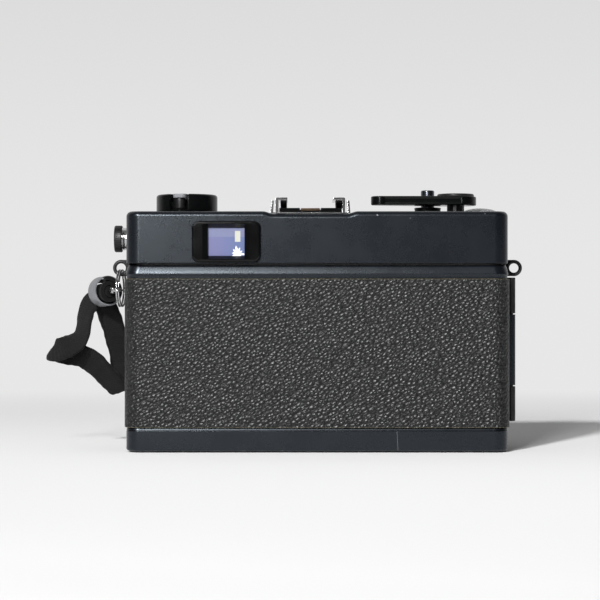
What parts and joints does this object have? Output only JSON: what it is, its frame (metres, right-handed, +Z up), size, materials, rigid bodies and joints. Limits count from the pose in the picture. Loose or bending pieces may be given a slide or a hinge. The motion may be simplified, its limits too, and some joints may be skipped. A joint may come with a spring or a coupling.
{
  "type": "rangefinder camera",
  "caption": "Compact 35 mm film rangefinder camera with a fixed lens, hinged back, folding rewind crank, winding lever, accessory shoe and a wrist strap on its left lug.",
  "frame": {"origin": "in the flat base, midway along the body and midway through the depth of its metal", "axes": "+X to the right of someone holding the camera, +Y out through the lens, +Z up; the back door faces -Y"},
  "size_m": [0.1429, 0.059, 0.0781],
  "materials": {
    "casting": "matte",
    "enamel": "satin",
    "leather_cloth": "satin",
    "black_steel": "satin",
    "black_alloy": "satin",
    "blade_steel": "satin",
    "black_plastic": "satin",
    "chrome": "polished",
    "brass": "satin",
    "copper": "satin",
    "coated_glass": "polished",
    "clear_window": "polished",
    "mirror": "polished",
    "grey_plastic": "satin",
    "webbing": "matte"
  },
  "bodies": {
    "camera": {"chassis": "casting", "top_cover": "enamel", "bottom_cover": "enamel", "front_leather": "leather_cloth", "hinge_leaf": "black_steel", "hinge_pin": "chrome", "button_collar": "black_alloy", "counter_dome": "clear_window", "lens_flange": "black_alloy", "filter_ring": "black_alloy", "shutter_case": "black_alloy", "rear_lens": "coated_glass", "eyepiece_frame": "black_plastic", "eyepiece_glass": "coated_glass", "finder_prism": "clear_window", "range_mirror": "mirror", "window_panel": "black_plastic", "finder_window": "coated_glass", "frame_line_window": "clear_window", "range_window": "coated_glass", "shoe_rails": "chrome", "shoe_base": "black_plastic", "shoe_contact": "copper", "strap_lug_left": "black_steel", "strap_lug_right": "black_steel", "flash_socket": "black_alloy", "tripod_socket": "chrome", "battery": "chrome"},
    "door": {"back_door": "enamel", "door_leather": "leather_cloth", "cassette_spring": "chrome"},
    "film_pressure": {"pressure_plate": "black_steel"},
    "latch": {"door_latch": "brass"},
    "rewind": {"rewind_knob": "enamel", "rewind_shaft": "brass"},
    "crank": {"rewind_crank": "grey_plastic"},
    "crank_grip": {"crank_handle": "black_plastic"},
    "advance": {"advance_lever": "enamel", "lever_cap": "black_steel", "advance_shaft": "brass"},
    "idler": {"idler_gear": "brass"},
    "sprocket": {"film_sprocket": "black_alloy"},
    "spool": {"take_up_spool": "black_plastic"},
    "counter": {"counter_dial": "black_plastic"},
    "release": {"shutter_button": "grey_plastic"},
    "focus": {"focus_ring": "black_alloy"},
    "lens_group": {"lens_cell": "black_alloy", "front_lens": "coated_glass"},
    "speed": {"speed_ring": "black_alloy"},
    "aperture": {"aperture_ring": "black_alloy"},
    "upper_blade": {"shutter_blade_upper": "blade_steel"},
    "lower_blade": {"shutter_blade_lower": "blade_steel"},
    "timer": {"self_timer_lever": "black_steel"},
    "rewind_unlock": {"rewind_release": "chrome"},
    "battery_lid": {"battery_cap": "black_alloy"},
    "strap": {"split_ring": "chrome", "strap_link": "chrome", "strap_roll": "webbing", "strap_ferrule": "grey_plastic", "wrist_strap": "webbing"}
  },
  "joints": [
    {"name": "door_swing", "type": "hinge", "parent": "camera", "child": "door", "pos_m": [0.05795, -0.00715, 0.03], "axis": [0, 0, 1], "range_deg": [0, 120]},
    {"name": "plate_press", "type": "slide", "parent": "door", "child": "film_pressure", "axis": [0, -1, 0], "range_m": [0, 0.0008], "stiffness_N_per_m": 500, "springref_m": -0.002},
    {"name": "rewind_pull", "type": "slide", "parent": "camera", "child": "latch", "axis": [0, 0, 1], "range_m": [0, 0.006], "stiffness_N_per_m": 300, "springref_m": -0.003},
    {"name": "rewind_turn", "type": "hinge", "parent": "latch", "child": "rewind", "pos_m": [-0.0392, 0.0005, 0.072], "axis": [0, 0, 1], "continuous": true},
    {"name": "crank_fold", "type": "hinge", "parent": "rewind", "child": "crank", "pos_m": [-0.0392, 0.0005, 0.0757], "axis": [-0.9744, 0.225, 0], "range_deg": [0, 180]},
    {"name": "crank_grip_spin", "type": "hinge", "parent": "crank", "child": "crank_grip", "pos_m": [-0.04084, -0.00661, 0.073], "axis": [0, 0, 1], "continuous": true},
    {"name": "advance_stroke", "type": "hinge", "parent": "camera", "child": "advance", "pos_m": [0.042, 0.0011, 0.074], "axis": [0, 0, 1], "range_deg": [0, 130], "stiffness_Nm_per_rad": 0.01, "springref_deg": -28.65},
    {"name": "idler_spin", "type": "hinge", "parent": "camera", "child": "idler", "pos_m": [0.02858, 0.00259, 0.0575], "axis": [0, 0, 1], "range_deg": [-360, 0]},
    {"name": "sprocket_spin", "type": "hinge", "parent": "camera", "child": "sprocket", "pos_m": [0.02604, -0.00415, 0.03], "axis": [0, 0, 1], "range_deg": [0, 360]},
    {"name": "spool_spin", "type": "hinge", "parent": "camera", "child": "spool", "pos_m": [0.042, 0.0011, 0.03], "axis": [0, 0, 1], "range_deg": [-360, 0]},
    {"name": "counter_step", "type": "hinge", "parent": "camera", "child": "counter", "pos_m": [0.05, 0.009, 0.07], "axis": [0, 0, 1], "range_deg": [0, 324]},
    {"name": "button_press", "type": "slide", "parent": "camera", "child": "release", "axis": [0, 0, -1], "range_m": [0, 0.002], "stiffness_N_per_m": 300, "springref_m": -0.001},
    {"name": "focus_turn", "type": "hinge", "parent": "camera", "child": "focus", "pos_m": [-0.002, 0.02, 0.03085], "axis": [0, 1, 0], "range_deg": [0, 100]},
    {"name": "lens_travel", "type": "slide", "parent": "camera", "child": "lens_group", "axis": [0, 1, 0], "range_m": [0, 0.002]},
    {"name": "speed_turn", "type": "hinge", "parent": "camera", "child": "speed", "pos_m": [-0.002, 0.02, 0.03085], "axis": [0, 1, 0], "range_deg": [0, 120]},
    {"name": "aperture_turn", "type": "hinge", "parent": "camera", "child": "aperture", "pos_m": [-0.002, 0.02, 0.03085], "axis": [0, 1, 0], "range_deg": [0, 80]},
    {"name": "upper_blade_swing", "type": "hinge", "parent": "camera", "child": "upper_blade", "pos_m": [-0.002, 0.012, 0.04285], "axis": [0, 1, 0], "range_deg": [0, 36]},
    {"name": "lower_blade_swing", "type": "hinge", "parent": "camera", "child": "lower_blade", "pos_m": [-0.002, 0.012, 0.01885], "axis": [0, 1, 0], "range_deg": [0, 36]},
    {"name": "timer_swing", "type": "hinge", "parent": "camera", "child": "timer", "pos_m": [0.038, 0.017, 0.04], "axis": [0, -1, 0], "range_deg": [0, 90]},
    {"name": "rewind_unlock_press", "type": "slide", "parent": "camera", "child": "rewind_unlock", "axis": [0, 0, 1], "range_m": [0, 0.0012]},
    {"name": "battery_lid_turn", "type": "hinge", "parent": "camera", "child": "battery_lid", "pos_m": [0.01, 0.002, 0.001], "axis": [0, 0, 1], "continuous": true},
    {"name": "strap_swing", "type": "hinge", "parent": "camera", "child": "strap", "pos_m": [-0.0593, 0.003, 0.0543], "axis": [0, 1, 0], "range_deg": [0, 85]}
  ],
  "couplings": [
    {"joint": "idler_spin", "follows": "advance_stroke", "ratio": -2.75},
    {"joint": "sprocket_spin", "follows": "advance_stroke", "ratio": 2.75},
    {"joint": "spool_spin", "follows": "advance_stroke", "ratio": -2.75},
    {"joint": "counter_step", "follows": "advance_stroke", "ratio": 0.06875},
    {"joint": "lens_travel", "follows": "focus_turn", "m_per_rad": 0.0011459},
    {"joint": "lower_blade_swing", "follows": "upper_blade_swing", "ratio": 1}
  ]
}
